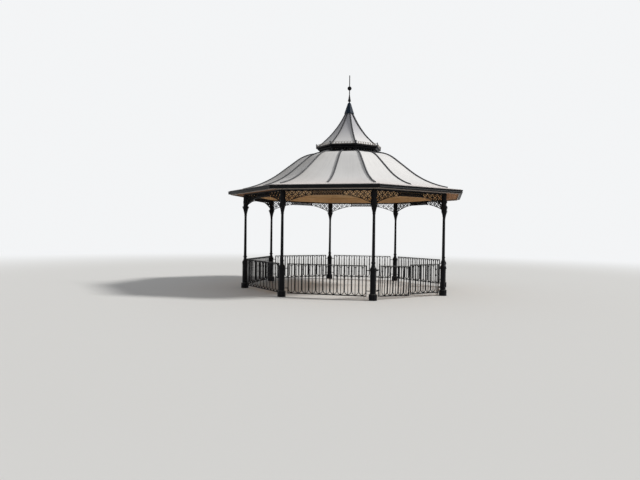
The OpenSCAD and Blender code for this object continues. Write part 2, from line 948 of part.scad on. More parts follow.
module spire_rolls() {
    under = at_hip(spire_line(seat));
    shoulder = at_hip(spire_line(roll_h * 0.5));
    crown = at_hip(spire_line(roll_h * 0.8));
    color(iron)
        for (k = [0 : SIDES - 1])
            rotate([0, 0, 2 * HALF * (k + 0.5)])
                hip_roll(under, shoulder, crown);
}

// Octagonal cap cut square to each pair of faces.
module spire_cap() {
    color(cap_blue)
        intersection_for (k = [0 : SIDES / 2 - 1])
            rotate([0, 0, 360 / SIDES * k])
                along_bay(2 * cap_foot_a + 20)
                    translate([0, spire_top])
                        polygon([
                            [-cap_foot_a, 0],
                            [cap_foot_a, 0],
                            [cap_foot_a, 14],
                            [cap_neck_a, cap_h - 34],
                            [cap_neck_a - 14, cap_h - 8],
                            [cap_neck_a - 30, cap_h],
                            [-cap_neck_a + 30, cap_h],
                            [-cap_neck_a + 14, cap_h - 8],
                            [-cap_neck_a, cap_h - 34],
                            [-cap_foot_a, 14]
                        ]);
}

module finial() {
    color(iron)
        translate([0, 0, cap_top]) {
            rotate_extrude()
                polygon([
                    [0, 0],
                    [24, 0],
                    [24, 40],
                    [54, 52],
                    [54, 64],
                    [48, 90],
                    [36, 150],
                    [26, 220],
                    [20, 262],
                    [rod_r, 290],
                    [rod_r, finial_h - 10],
                    [rod_r - 6, finial_h],
                    [0, finial_h]
                ]);
            translate([0, 0, ball_rise])
                sphere(r = ball_r);
        }
}

column(1);  // column_1
column(2);  // column_2
column(3);  // column_3
column(4);  // column_4
column(5);  // column_5
column(6);  // column_6
column(7);  // column_7
column(8);  // column_8
frieze(1);  // frieze_1
frieze(2);  // frieze_2
frieze(3);  // frieze_3
frieze(4);  // frieze_4
frieze(5);  // frieze_5
frieze(6);  // frieze_6
frieze(7);  // frieze_7
frieze(8);  // frieze_8
railing(2);  // railing_2
railing(3);  // railing_3
railing(4);  // railing_4
railing(5);  // railing_5
railing(6);  // railing_6
railing(7);  // railing_7
railing(8);  // railing_8
gate_leaf_left();
gate_leaf_right();
ring_beam();
fascia();
gutter();
soffit_boards();
ceiling_boards();
roof_panels();
roof_rolls();
lantern_deck();
lantern_drum();
lantern_cornice();
lantern_cresting();
spire_panels();
spire_rolls();
spire_cap();
finial();
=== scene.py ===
"""The looks of an octagonal park bandstand: iron castings, boarded ceiling, sheet roof and lantern.

Metres, +Z up, origin on the ground at the centre. The gate bay, bay 1, faces -Y.
"""

import math

import bmesh
import bpy
import numpy as np
from mathutils import Matrix, Vector


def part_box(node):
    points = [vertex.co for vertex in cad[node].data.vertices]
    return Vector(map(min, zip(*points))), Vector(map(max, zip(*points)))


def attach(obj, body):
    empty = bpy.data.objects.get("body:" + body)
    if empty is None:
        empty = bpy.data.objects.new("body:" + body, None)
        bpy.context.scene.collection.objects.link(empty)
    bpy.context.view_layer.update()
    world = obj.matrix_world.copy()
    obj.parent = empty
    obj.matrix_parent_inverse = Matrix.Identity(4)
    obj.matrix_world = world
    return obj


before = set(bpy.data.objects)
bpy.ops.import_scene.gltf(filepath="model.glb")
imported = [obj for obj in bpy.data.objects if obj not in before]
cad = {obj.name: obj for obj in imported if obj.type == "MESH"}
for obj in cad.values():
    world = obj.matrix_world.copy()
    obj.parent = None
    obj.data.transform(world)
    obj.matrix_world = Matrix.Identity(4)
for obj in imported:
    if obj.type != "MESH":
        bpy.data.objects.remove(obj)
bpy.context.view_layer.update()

# The stand: a pale floor that fades into a pale backdrop, soft daylight from the right,
# and a camera at eye height 19 metres away, which looks past the left gate post.

BACKDROP = (0.90, 0.91, 0.92, 1.0)
SKY = (0.95, 0.97, 1.0, 1.0)
SKY_LIGHT = 0.345
FLOOR_PAINT = (0.74, 0.735, 0.72, 1.0)
FLOOR_R = 60.0
FLOOR_SIDES = 96
FLOOR_SINK = 0.0005
FADE_START = 13.0
FADE_END = 34.0


def add_node(tree, kind, inputs=None, **settings):
    """Adds a shader node. Settings are its own properties; inputs are sockets, each given a
    value or a link."""
    made = tree.nodes.new("ShaderNode" + kind)
    for key, value in settings.items():
        setattr(made, key, value)
    for key, value in (inputs or {}).items():
        if isinstance(value, bpy.types.NodeSocket):
            tree.links.new(value, made.inputs[key])
        else:
            made.inputs[key].default_value = value
    return made


def calc(tree, operation, a, b=0.0, c=0.0):
    """The result of one sum between numbers or sockets."""
    return add_node(tree, "Math", {0: a, 1: b, 2: c}, operation=operation).outputs[0]


def ramp(tree, value, low, high, start=0.0, end=1.0):
    """Carries a value smoothly from start to end as it goes from low to high."""
    made = add_node(
        tree,
        "MapRange",
        {"Value": value, "From Min": low, "From Max": high, "To Min": start, "To Max": end},
        interpolation_type="SMOOTHSTEP",
    )
    return made.outputs["Result"]


def seen_directly(tree):
    """1 for rays from the eye or off a gloss, 0 for the rays that light the object."""
    path = add_node(tree, "LightPath")
    either = calc(tree, "MAXIMUM", path.outputs["Is Camera Ray"], path.outputs["Is Glossy Ray"])
    return calc(tree, "MAXIMUM", either, path.outputs["Is Transmission Ray"])


world = bpy.data.worlds.new("pale_daylight")
world.use_nodes = True
bpy.context.scene.world = world
tree = world.node_tree
tree.nodes.clear()
lighting = add_node(tree, "Background", {"Color": SKY, "Strength": SKY_LIGHT})
backdrop = add_node(tree, "Background", {"Color": BACKDROP, "Strength": 1.0})
shown = add_node(
    tree,
    "MixShader",
    {0: seen_directly(tree), 1: lighting.outputs[0], 2: backdrop.outputs[0]},
)
add_node(tree, "OutputWorld", {"Surface": shown.outputs[0]})

floor_mesh = bpy.data.meshes.new("floor")
turn = np.linspace(0, 2 * np.pi, FLOOR_SIDES, endpoint=False)
level = np.full(FLOOR_SIDES, -FLOOR_SINK)
rim = np.stack([FLOOR_R * np.cos(turn), FLOOR_R * np.sin(turn), level], axis=1)
floor_mesh.from_pydata(rim.tolist(), [], [list(range(FLOOR_SIDES))])
floor = bpy.data.objects.new("floor", floor_mesh)
bpy.context.scene.collection.objects.link(floor)
paving = bpy.data.materials.new("pale_floor")
paving.use_nodes = True
tree = paving.node_tree
tree.nodes.clear()
place = add_node(tree, "TexCoord").outputs["Object"]
away = add_node(tree, "VectorMath", {0: place}, operation="LENGTH").outputs["Value"]
surface = add_node(
    tree,
    "BsdfPrincipled",
    {"Base Color": FLOOR_PAINT, "Roughness": 0.9, "Specular IOR Level": 0.15},
)
glow = add_node(tree, "Emission", {"Color": BACKDROP, "Strength": 1.0})
fade = calc(tree, "MULTIPLY", ramp(tree, away, FADE_START, FADE_END), seen_directly(tree))
mixed = add_node(tree, "MixShader", {0: fade, 1: surface.outputs[0], 2: glow.outputs[0]})
add_node(tree, "OutputMaterial", {"Surface": mixed.outputs[0]})
floor_mesh.materials.append(paving)

SUN_STRENGTH = 2.95
SUN_BREADTH = math.radians(9)
SUN_COLOUR = (1.0, 0.985, 0.955)
TOWARDS_SUN = Vector((0.66, -0.48, 0.58))
sun = bpy.data.lights.new("soft_sun", "SUN")
sun.energy = SUN_STRENGTH
sun.angle = SUN_BREADTH
sun.color = SUN_COLOUR
sun_lamp = bpy.data.objects.new("soft_sun", sun)
bpy.context.scene.collection.objects.link(sun_lamp)
sun_lamp.rotation_euler = TOWARDS_SUN.to_track_quat("Z", "Y").to_euler()

IMAGE_W = 640
FOCAL_PIXELS = 521
SENSOR_W = 36
SIGHT_END = 300
EYE = (-10.687, -15.549, 1.958)
HEADING = math.radians(31.47)
TILT = math.radians(-0.775)
LEAN = math.radians(0.71)
camera = bpy.data.cameras.new("camera")
camera.sensor_width = SENSOR_W
camera.lens = SENSOR_W * FOCAL_PIXELS / IMAGE_W
camera.clip_end = SIGHT_END
viewpoint = bpy.data.objects.new("camera", camera)
bpy.context.scene.collection.objects.link(viewpoint)
viewpoint.matrix_world = (
    Matrix.Translation(EYE)
    @ Matrix.Rotation(-HEADING, 4, "Z")
    @ Matrix.Rotation(math.pi / 2 + TILT, 4, "X")
    @ Matrix.Rotation(LEAN, 4, "Z")
)
bpy.context.scene.camera = viewpoint
bpy.context.scene.view_settings.view_transform = "Standard"

# The columns: cast iron in black gloss paint, each with an octagonal foot and pedestal, a collar,
# a slim tapered shaft and a flared bell, dressed with eight leaves that are cast on the bell.

BAYS = range(1, 9)
HALF = math.pi / 8


def noise(tree, where, scale, detail, roughness=0.5):
    """The strength of a noise at a point. Scale sets how fine it is, detail how many finer noises
    lie over it, and roughness how strong these are."""
    inputs = {"Vector": where, "Scale": scale, "Detail": detail, "Roughness": roughness}
    return add_node(tree, "TexNoise", inputs).outputs["Fac"]


def tint(tree, share, first, second):
    """Mixes two colours by a share between 0 and 1."""
    return add_node(tree, "Mix", {0: share, 6: first, 7: second}, data_type="RGBA").outputs[2]


def new_group(name, inputs, outputs):
    """An empty node group, with its inner ends. Each socket is a name with its kind."""
    group = bpy.data.node_groups.new(name, "ShaderNodeTree")
    for way, sockets in (("INPUT", inputs), ("OUTPUT", outputs)):
        for socket, kind in sockets.items():
            group.interface.new_socket(socket, in_out=way, socket_type="NodeSocket" + kind)
    entry = group.nodes.new("NodeGroupInput").outputs
    leave = group.nodes.new("NodeGroupOutput").inputs
    return group, entry, leave


def weathering():
    """Group: broad patches and fine grit from two sizes of noise, and streaks that run down."""
    group, entry, leave = new_group(
        "weathering",
        {"Point": "Vector", "Patch Size": "Float"},
        {"Patches": "Float", "Grit": "Float", "Streaks": "Float"},
    )
    point = entry["Point"]
    often = calc(group, "DIVIDE", 1.0, entry["Patch Size"])
    drawn = add_node(group, "VectorMath", {0: point, 1: (9.0, 9.0, 0.7)}, operation="MULTIPLY")
    broad = noise(group, point, often, detail=5.0, roughness=0.6)
    fine = noise(group, point, 140.0, detail=2.0)
    runs = noise(group, drawn.outputs[0], 1.6, detail=4.0)
    group.links.new(ramp(group, broad, 0.38, 0.66), leave["Patches"])
    group.links.new(ramp(group, fine, 0.35, 0.7), leave["Grit"])
    group.links.new(ramp(group, runs, 0.42, 0.68), leave["Streaks"])
    return group


def edge_wear():
    """Group: how far the rounded normal turns from the true one, which is large only at an edge."""
    group, entry, leave = new_group(
        "edge_wear",
        {"Breadth": "Float", "Breakup": "Float"},
        {"Edge": "Float", "Round Normal": "Vector"},
    )
    rounded = add_node(group, "Bevel", {"Radius": entry["Breadth"]}, samples=4).outputs[0]
    true = add_node(group, "NewGeometry").outputs["Normal"]
    both = add_node(group, "VectorMath", {0: rounded, 1: true}, operation="DOT_PRODUCT")
    apart = calc(group, "SUBTRACT", 1.0, both.outputs["Value"])
    worn = calc(group, "MULTIPLY", ramp(group, apart, 0.02, 0.18), entry["Breakup"])
    group.links.new(worn, leave["Edge"])
    group.links.new(rounded, leave["Round Normal"])
    return group


WEATHERING = weathering()
EDGE_WEAR = edge_wear()


def use_group(tree, group, inputs):
    """Places a node group with its own values, and gives its outputs."""
    return add_node(tree, "Group", inputs, node_tree=group).outputs


def new_finish(name):
    """A material, its tree, the inputs of its shader and the point that its patterns follow."""
    material = bpy.data.materials.new(name)
    material.use_nodes = True
    tree = material.node_tree
    shader = tree.nodes["Principled BSDF"].inputs
    return material, tree, shader, add_node(tree, "TexCoord").outputs["Object"]


def emboss(tree, shader, height, strength, distance, over=None):
    """Bends the light on a surface by a height, over its own normal or another one."""
    inputs = {"Height": height, "Strength": strength, "Distance": distance}
    if over is not None:
        inputs["Normal"] = over
    bump = add_node(tree, "Bump", inputs)
    tree.links.new(bump.outputs["Normal"], shader["Normal"])


PAINT_GLOSS = 0.09
PEEL_DEPTH = 0.0012


def painted_iron(name, paint, dust, chip, dust_and_sky_sheen, roughness, edge):
    """Gloss paint over a casting: orange peel, dust in patches and streaks, a lighter tone on the
    faces that look up, partly dust come to rest there and partly a painted sky reflection, and
    paint thin on the edges."""
    material, tree, shader, point = new_finish(name)
    age = use_group(tree, WEATHERING, {"Point": point, "Patch Size": 0.35})
    worn = use_group(tree, EDGE_WEAR, {"Breadth": edge, "Breakup": age["Grit"]})
    dusty = calc(tree, "MULTIPLY", age["Patches"], age["Streaks"])
    soiled = tint(tree, calc(tree, "MULTIPLY", dusty, 0.5), paint, dust)
    # Faces that look up are mixed towards a lighter colour: dust at rest on them and a painted
    # reflection of the sky.
    normal = add_node(tree, "NewGeometry").outputs["Normal"]
    upward = add_node(tree, "SeparateXYZ", {0: normal}).outputs[2]
    resting = calc(tree, "MULTIPLY_ADD", age["Grit"], 0.3, 0.6)
    top_dust_and_sheen = calc(tree, "MULTIPLY", ramp(tree, upward, 0.6, 0.95), resting)
    dusted_and_sheened = tint(tree, top_dust_and_sheen, soiled, dust_and_sky_sheen)
    chipped = tint(tree, calc(tree, "MULTIPLY", worn["Edge"], 0.45), dusted_and_sheened, chip)
    tree.links.new(chipped, shader["Base Color"])
    dulled = calc(tree, "MULTIPLY_ADD", dusty, 0.25, roughness)
    tree.links.new(calc(tree, "MULTIPLY_ADD", age["Grit"], 0.08, dulled), shader["Roughness"])
    peel = noise(tree, point, 260.0, detail=3.0)
    emboss(tree, shader, peel, 0.18, PEEL_DEPTH, over=worn["Round Normal"])
    shader["Specular IOR Level"].default_value = PAINT_GLOSS
    return material


def dress(material, *names):
    """Gives CAD nodes a finish."""
    for name in names:
        cad[name].data.materials.clear()
        cad[name].data.materials.append(material)


IRON = painted_iron(
    "black_gloss_iron",
    paint=(0.0045, 0.0048, 0.0062, 1.0),
    dust=(0.026, 0.025, 0.025, 1.0),
    chip=(0.060, 0.058, 0.056, 1.0),
    # The lighter colour of faces that look up: dust at rest and a painted sky reflection.
    dust_and_sky_sheen=(0.110, 0.106, 0.100, 1.0),
    roughness=0.36,
    edge=0.004,
)
dress(IRON, *[f"column_{k}" for k in BAYS])


def make_piece(name, grids, material, body="root", flat=False):
    """One object from grids of points, each (rows, columns, 3), with neighbours joined by quads.

    Points that meet, at a seam or a pole, are merged, and faces are turned outwards.
    """
    points, quads, first = [], [], 0
    for grid in grids:
        rows, columns = grid.shape[:2]
        number = np.arange(rows * columns).reshape(rows, columns) + first
        corners = (number[:-1, :-1], number[:-1, 1:], number[1:, 1:], number[1:, :-1])
        quads.append(np.stack(corners, axis=-1).reshape(-1, 4))
        points.append(grid.reshape(-1, 3))
        first += rows * columns
    mesh = bpy.data.meshes.new(name)
    mesh.from_pydata(np.concatenate(points).tolist(), [], np.concatenate(quads).tolist())
    merged = bmesh.new()
    merged.from_mesh(mesh)
    bmesh.ops.remove_doubles(merged, verts=merged.verts, dist=1e-5)
    bmesh.ops.dissolve_degenerate(merged, edges=merged.edges, dist=1e-6)
    bmesh.ops.recalc_face_normals(merged, faces=merged.faces)
    merged.to_mesh(mesh)
    merged.free()
    mesh.polygons.foreach_set("use_smooth", np.full(len(mesh.polygons), not flat))
    mesh.materials.append(material)
    piece = bpy.data.objects.new(name, mesh)
    bpy.context.scene.collection.objects.link(piece)
    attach(piece, body)


beam_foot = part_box("ring_beam")[0].z
frieze_low, frieze_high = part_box("frieze_1")
head_foot = frieze_low.z
column_a = -(frieze_low.y + frieze_high.y) / 2
column_ring_r = column_a / math.cos(HALF)
ABACUS_T = 0.022
BELL_H = 0.290
BELL_LIP = 0.014
BELL_RIM_R = 0.104
SHAFT_NECK_R = 0.040
bell_top = head_foot - ABACUS_T
neck_z = bell_top - BELL_H

# The bell's outline is an arc that leaves the neck upright and reaches the rim below its lip.
bell_flare = BELL_RIM_R - SHAFT_NECK_R
bell_hollow_r = (bell_flare**2 + (BELL_H - BELL_LIP) ** 2) / (2 * bell_flare)

LEAF_FOOT = 0.020
LEAF_HEAD = 0.014
LEAF_BREADTH = 0.030
LEAF_T = 0.004
ROOT_SHARE = 0.14
LOBES = 3
LOBE_SHARE = 0.16
MIDRIB_SHARE = 0.22
MIDRIB_LIFT = 0.007
HOLLOW_DEPTH = 0.003
CURL_START = 0.72
CURL_OUT = 0.016
LEAF_SINK = 0.002


def capital_leaf(bearing):
    """A leaf on the bell: v runs up it and u across, its breadth swells and comes to a point, the
    midrib stands up from two hollow halves, and the tip curls away from the bell."""
    v, u = np.meshgrid(np.linspace(0, 1, 13), np.linspace(-1, 1, 9), indexing="ij")
    height = neck_z + LEAF_FOOT + v * (BELL_H - LEAF_FOOT - LEAF_HEAD)
    rise = height - neck_z
    bell_r = SHAFT_NECK_R + bell_hollow_r - np.sqrt(bell_hollow_r**2 - rise**2)
    swell = np.sin(np.pi * np.clip(v * (1 - ROOT_SHARE) + ROOT_SHARE, 0, 1)) ** 0.7
    lobed = 1 + LOBE_SHARE * np.cos(v * 2 * LOBES * np.pi)
    midrib = MIDRIB_LIFT * np.exp(-((u / MIDRIB_SHARE) ** 2))
    relief = LEAF_T + midrib + HOLLOW_DEPTH * np.cos(2 * np.pi * u)
    curl = CURL_OUT * np.clip((v - CURL_START) / (1 - CURL_START), 0, 1) ** 2
    r = bell_r + relief * np.sin(np.pi * np.clip(v, 0.04, 0.97)) ** 0.5 + curl
    r = np.where(np.abs(u) > 0.99, bell_r - LEAF_SINK + curl, r)
    angle = bearing + u * LEAF_BREADTH * swell * lobed / bell_r
    return np.stack([r * np.cos(angle), r * np.sin(angle), height], axis=-1)


for k in BAYS:
    outwards = -math.pi / 2 + HALF + 2 * HALF * (k - 1)
    axis = np.array([math.cos(outwards), math.sin(outwards), 0]) * column_ring_r
    leaves = [capital_leaf(outwards + HALF + 2 * HALF * i) + axis for i in range(8)]
    make_piece(f"capital_leaves_{k}", leaves, IRON)

# The friezes: flat cast iron panels of interlaced rings, bolted between the column heads. Each ring
# has a half-round bead on both faces and a boss where two rings touch.

dress(IRON, *[f"frieze_{k}" for k in BAYS])
TOP_BAR = 0.028
FRIEZE_BAR = 0.015
LACE_R = 0.105
LACE_BAR = 0.019
SPANDREL_LEN = 0.850
VALANCE_DEPTH = 0.152
ARCH_RISE = 0.040
BEAD_LIFT = 0.005
BEAD_SINK = 0.001
frieze_half = frieze_high.x
frieze_t = frieze_high.y - frieze_low.y
spandrel_depth = frieze_high.z - frieze_low.z
valance_half = frieze_half - SPANDREL_LEN

arch_foot = np.array([frieze_half, -spandrel_depth])
arch_tip = np.array([valance_half, -VALANCE_DEPTH])
chord = np.linalg.norm(arch_foot - arch_tip)
arch_r = (chord**2 / 4 + ARCH_RISE**2) / (2 * ARCH_RISE)
arch_run = (arch_foot - arch_tip) / chord
arch_out = np.array([arch_run[1], -arch_run[0]])
arch_c = (arch_foot + arch_tip) / 2 + (arch_r - ARCH_RISE) * arch_out


def both_faces(along, rise, up, thickness):
    """The same relief on the outer and the inner face of a flat casting: two grids, each as far
    from the bay's plane as half the casting's thickness and the rise."""
    faces = []
    for side in (-1, 1):
        out = -column_a + side * (thickness / 2 + rise)
        faces.append(np.stack([along, out, up], axis=-1))
    return faces


def bead(along, down, breadth, lift, closed=False):
    """A half-round bead on both faces of a flat bar, whose middle line is given in the bay's plane.

    Five points go round the bead: two sunk into the bar, two shoulders and the crown. An open
    bead ends in a point inside the bar.
    """
    line = np.stack([along, down], axis=1)
    if closed:
        ahead, behind = np.roll(line[:-1], -1, axis=0), np.roll(line[:-1], 1, axis=0)
        run = ahead - behind
        run = np.concatenate([run, run[:1]])
    else:
        run = np.gradient(line, axis=0)
    run /= np.linalg.norm(run, axis=1, keepdims=True)
    across = np.stack([run[:, 1], -run[:, 0]], axis=1)
    offset = np.array([-0.5, -0.36, 0.0, 0.36, 0.5, -0.5]) * breadth
    height = np.array([-BEAD_SINK, 0.68 * lift, lift, 0.68 * lift, -BEAD_SINK, -BEAD_SINK])
    flat = line[:, None, :] + across[:, None, :] * offset[None, :, None]
    rise = np.repeat(height[None, :], len(line), axis=0)
    if not closed:
        first = np.repeat(line[:1, None], len(offset), axis=1)
        last = np.repeat(line[-1:, None], len(offset), axis=1)
        sunk = np.full((1, len(offset)), -BEAD_SINK)
        flat = np.concatenate([first, flat, last])
        rise = np.concatenate([sunk, rise, sunk])
    return both_faces(flat[..., 0], rise, beam_foot + flat[..., 1], frieze_t)


def boss(along, down, r, lift):
    """A low dome on both faces of a casting: its height falls from the lift as a quarter ellipse."""
    share, angle = np.meshgrid(np.linspace(0, 1, 4), np.linspace(0, 2 * np.pi, 9), indexing="ij")
    rise = lift * np.sqrt(np.clip(1 - share**2, 0, 1)) - BEAD_SINK * (share > 0.99)
    x = along + r * share * np.cos(angle)
    z = beam_foot + down + r * share * np.sin(angle)
    return both_faces(x, rise, z, frieze_t)


BOLT_R = 0.010
BOLT_LIFT = 0.006
BOLT_SEAT = 0.003


def cup_head(along, out, up, facing):
    """A cup-headed bolt: a dome on a thin washer, facing in or out of the bay's plane. The height
    falls from the crown to the washer's face in steps that grow steeper outwards."""
    share, angle = np.meshgrid(
        np.array([0, 0.35, 0.6, 0.74, 0.76, 1.0, 1.0]), np.linspace(0, 2 * np.pi, 13), indexing="ij"
    )
    height = np.array([1.0, 0.85, 0.6, 0.3, 0.22, 0.2, -0.1])[:, None] * BOLT_LIFT
    x = along + BOLT_R * share * np.cos(angle)
    z = up + BOLT_R * share * np.sin(angle)
    return np.stack([x, out + facing * np.broadcast_to(height, x.shape), z], axis=-1)


def runs_inside(inside):
    """First and last index of each unbroken run of true values, round a closed ring."""
    if inside.all():
        return "whole"
    start = int(np.argmin(inside))
    rolled = np.roll(inside, -start)
    edges = np.flatnonzero(np.diff(np.concatenate([[False], rolled, [False]]).astype(int)))
    return [(a + start, b + start) for a, b in zip(edges[::2], edges[1::2], strict=True)]


def ring_beads(centre, r, breadth, inside_test=None, steps=24):
    """Beads along those parts of a ring whose middle line passes the test, or along all of it."""
    angle = np.arange(steps) * 2 * np.pi / steps
    x, y = centre[0] + r * np.cos(angle), centre[1] + r * np.sin(angle)
    found = runs_inside(inside_test(x, y)) if inside_test else "whole"
    if found == "whole":
        whole = np.append(np.arange(steps), 0)
        return bead(x[whole], y[whole], breadth, BEAD_LIFT, closed=True)
    made = []
    for a, b in found:
        if b - a > 2:
            part = np.arange(a, b) % steps
            made += bead(x[part], y[part], breadth, BEAD_LIFT)
    return made


FRAME_LAP = FRIEZE_BAR * 0.7
TOP_LAP = 0.005
TOP_BEAD_LIFT = 0.006
LACE_BEAD = LACE_BAR * 0.72
LACE_BOSS_R = 0.013
LACE_BOSS_LIFT = 0.010
STILE_INSET = 0.001
STILE_FOOT_GAP = 0.004
BOLTS_DOWN = (0.07, 0.20, 0.33)


def in_spandrel(x, y):
    """True inside the frame bars of the right-hand spandrel."""
    above_arch = np.hypot(x - arch_c[0], y - arch_c[1]) > arch_r + FRAME_LAP
    across = (x > valance_half + FRAME_LAP) & (x < frieze_half - FRAME_LAP)
    return above_arch & across & (y < TOP_LAP - TOP_BAR)


def spandrel_beads():
    """Beads, bosses and frame mouldings of the right-hand spandrel.

    Rings stand on every second crossing of a square net, and bosses on the others.
    """
    made = []
    corner = np.array([frieze_half - FRIEZE_BAR, -TOP_BAR])
    for row in range(math.ceil(spandrel_depth / LACE_R) + 1):
        for column in range(math.ceil(SPANDREL_LEN / LACE_R) + 1):
            centre = corner - np.array([column, row]) * LACE_R
            if (row + column) % 2 == 0:
                made += ring_beads(centre, LACE_R, LACE_BEAD, in_spandrel)
            elif in_spandrel(centre[:1], centre[1:])[0]:
                made += boss(centre[0], centre[1], LACE_BOSS_R, LACE_BOSS_LIFT)
    middle = FRIEZE_BAR / 2
    start = math.atan2(*(arch_tip - arch_c)[::-1])
    end = math.atan2(*(arch_foot - arch_c)[::-1])
    sweep = np.linspace(start, end, 25)
    r = arch_r + middle
    along, down = arch_c[0] + r * np.cos(sweep), arch_c[1] + r * np.sin(sweep)
    made += bead(along, down, FRIEZE_BAR, BEAD_LIFT)
    stiles = (
        (valance_half + middle + STILE_INSET, -VALANCE_DEPTH - FRIEZE_BAR),
        (frieze_half - middle, STILE_FOOT_GAP - spandrel_depth),
    )
    for x, foot in stiles:
        made += bead(np.full(4, x), np.linspace(-middle, foot, 4), FRIEZE_BAR, BEAD_LIFT)
    top = np.linspace(valance_half, frieze_half, 4)
    made += bead(top, np.full(4, -TOP_BAR / 2), TOP_BAR * 0.6, TOP_BEAD_LIFT)
    for bolt in BOLTS_DOWN:
        for facing in (-1, 1):
            face = -column_a + facing * (frieze_t / 2 + BOLT_SEAT)
            made.append(cup_head(frieze_half - middle, face, beam_foot - bolt, facing))
    return made


BAND_H = 0.050
BAND_HOLE_R = 0.013
EYELET_MARGIN = 0.003
EYELET_BEAD = 0.005
LOOP_PITCH = 0.079
LOOP_RING_BAR = 0.012
LOOP_LAP = 0.002
LOOP_RAISE = 0.004
LOOP_BOSS_R = 0.008
LOOP_BOSS_LIFT = 0.007
LEAF_BEAD = LOOP_RING_BAR * 0.6
LEAF_BEAD_LIFT = 0.003
BAND_FOOT_BEAD = 0.008
BAND_TOP_BEAD = 0.006
TOP_BEAD = 0.017


def valance_beads():
    """Beads on the row of rings, their leaves, the eyelets of the band and its edges.

    A leaf is an arc of a circle a little larger than its ring, cut off where it leaves the ring.
    """
    loops = math.floor(2 * valance_half / LOOP_PITCH)
    step = 2 * valance_half / loops
    ring_r = step / 2 + LOOP_LAP
    ring_y = -TOP_BAR - ring_r + LOOP_RAISE
    ring_bead = LOOP_RING_BAR - BEAD_SINK
    leaf_r = ring_r * 1.1
    sweep = np.linspace(0.12, 0.62, 7) * math.pi
    made = []
    for i in range(loops):
        x = -valance_half + (i + 0.5) * step
        made += ring_beads((x, ring_y), ring_r - LOOP_RING_BAR / 2, ring_bead)
        for side in (-1, 1):
            a = x + side * (leaf_r - leaf_r * np.cos(sweep))
            b = ring_y - ring_r * 0.55 + leaf_r * np.sin(sweep)
            within = np.hypot(a - x, b - ring_y) < ring_r - LEAF_BEAD
            if within.sum() > 3:
                made += bead(a[within], b[within], LEAF_BEAD, LEAF_BEAD_LIFT)
        eyelet = (x, -VALANCE_DEPTH + BAND_H / 2)
        made += ring_beads(eyelet, BAND_HOLE_R + EYELET_MARGIN, EYELET_BEAD, steps=12)
        beside = x + step / 2 if i < loops - 1 else x - step / 2
        made += boss(beside, ring_y, LOOP_BOSS_R, LOOP_BOSS_LIFT)
    edges = (
        (-VALANCE_DEPTH + BAND_FOOT_BEAD / 2, BAND_FOOT_BEAD),
        (-VALANCE_DEPTH + BAND_H - BAND_TOP_BEAD / 2, BAND_TOP_BEAD),
        (-TOP_BAR / 2, TOP_BEAD),
    )
    for y, breadth in edges:
        along = np.linspace(-valance_half, valance_half, 4)
        made += bead(along, np.full(4, y), breadth, 0.6 * breadth)
    return made


def in_bay(points, bay):
    """Turns points given for the gate bay about the bandstand's axis to another bay."""
    angle = 2 * HALF * (bay - 1)
    c, s = math.cos(angle), math.sin(angle)
    return points @ np.array([[c, s, 0], [-s, c, 0], [0, 0, 1]])


right_spandrel = spandrel_beads()
left_spandrel = [grid * np.array([-1, 1, 1]) for grid in right_spandrel]
frieze_relief = right_spandrel + left_spandrel + valance_beads()
for k in BAYS:
    grids = [in_bay(grid, k) for grid in frieze_relief]
    make_piece(f"frieze_beads_{k}", grids, IRON)

# The railings: cast iron panels of U loops under a handrail, clipped together by two rows of
# rosettes, and fixed to each column by two lugs.

RAILING_BAYS = range(2, 9)
END_BAR_INSET = 0.204
LOOP_COUNT = 11
ROSETTE_ROWS = (0.845, 0.665)
ROSETTE_R = 0.027
PETAL_R = ROSETTE_R * 0.94
PETALS = 6
PETAL_CUT = 0.13
PETAL_SWELL = 0.35
ROSETTE_LIFT = 0.008
BUTTON_SHARE = 0.3
BUTTON_LIFT = 0.004
BAR_T = 0.016
LUGS = (0.270, 0.873)
bay_half = column_ring_r * math.sin(HALF)
panel_half = bay_half - END_BAR_INSET


def rosette(along, up):
    """A six-petalled flower on both faces of the bars: the height is a dome whose rim rises and
    falls six times round, with a round button in the middle."""
    share, angle = np.meshgrid(np.linspace(0, 1, 7), np.linspace(0, 2 * np.pi, 25), indexing="ij")
    petals = np.cos(PETALS * angle)
    r = PETAL_R * share * (1 + PETAL_CUT * petals)
    button = np.where(share < BUTTON_SHARE, BUTTON_LIFT, 0.0)
    dome = ROSETTE_LIFT * np.sqrt(np.clip(1 - share**2, 0, 1))
    rise = dome * (1 + PETAL_SWELL * petals * share) + button
    rise = np.where(share > 0.99, -BEAD_SINK, rise)
    return both_faces(along + r * np.cos(angle), rise, up + r * np.sin(angle), BAR_T)


dress(IRON, *[f"railing_{k}" for k in RAILING_BAYS])
railing_relief = []
for i in range(1, LOOP_COUNT):
    for row in ROSETTE_ROWS:
        railing_relief += rosette(-panel_half + i * 2 * panel_half / LOOP_COUNT, row)
for side in (-1, 1):
    for lug in LUGS:
        for facing in (-1, 1):
            face = -column_a + facing * (BAR_T / 2 + BOLT_SEAT)
            railing_relief.append(cup_head(side * panel_half, face, lug, facing))
for k in RAILING_BAYS:
    grids = [in_bay(grid, k) for grid in railing_relief]
    make_piece(f"railing_rosettes_{k}", grids, IRON)

# The gates: two leaves cast to the railings' pattern, hung on pins beside the gate posts. The left
# leaf has dropped a little at its free end.

LEAF_LOOPS = 5
LEAF_GAP = 0.036
END_BAR = 0.024
HALF_LOOP = 0.118
HINGE_INSET = 0.150
LEAF_SAG = math.radians(2.1)
meet = LEAF_GAP / 2 + END_BAR / 2
leaf_pitch = (panel_half - HALF_LOOP - meet) / LEAF_LOOPS
pivot = bay_half - HINGE_INSET


def sagged(grid, sag):
    """Turns a leaf's points about its lower pin, so that the free end drops."""
    x, z = grid[..., 0] - pivot, grid[..., 2] - LUGS[0]
    c, s = math.cos(sag), math.sin(sag)
    return np.stack([pivot + x * c - z * s, grid[..., 1], LUGS[0] + x * s + z * c], axis=-1)


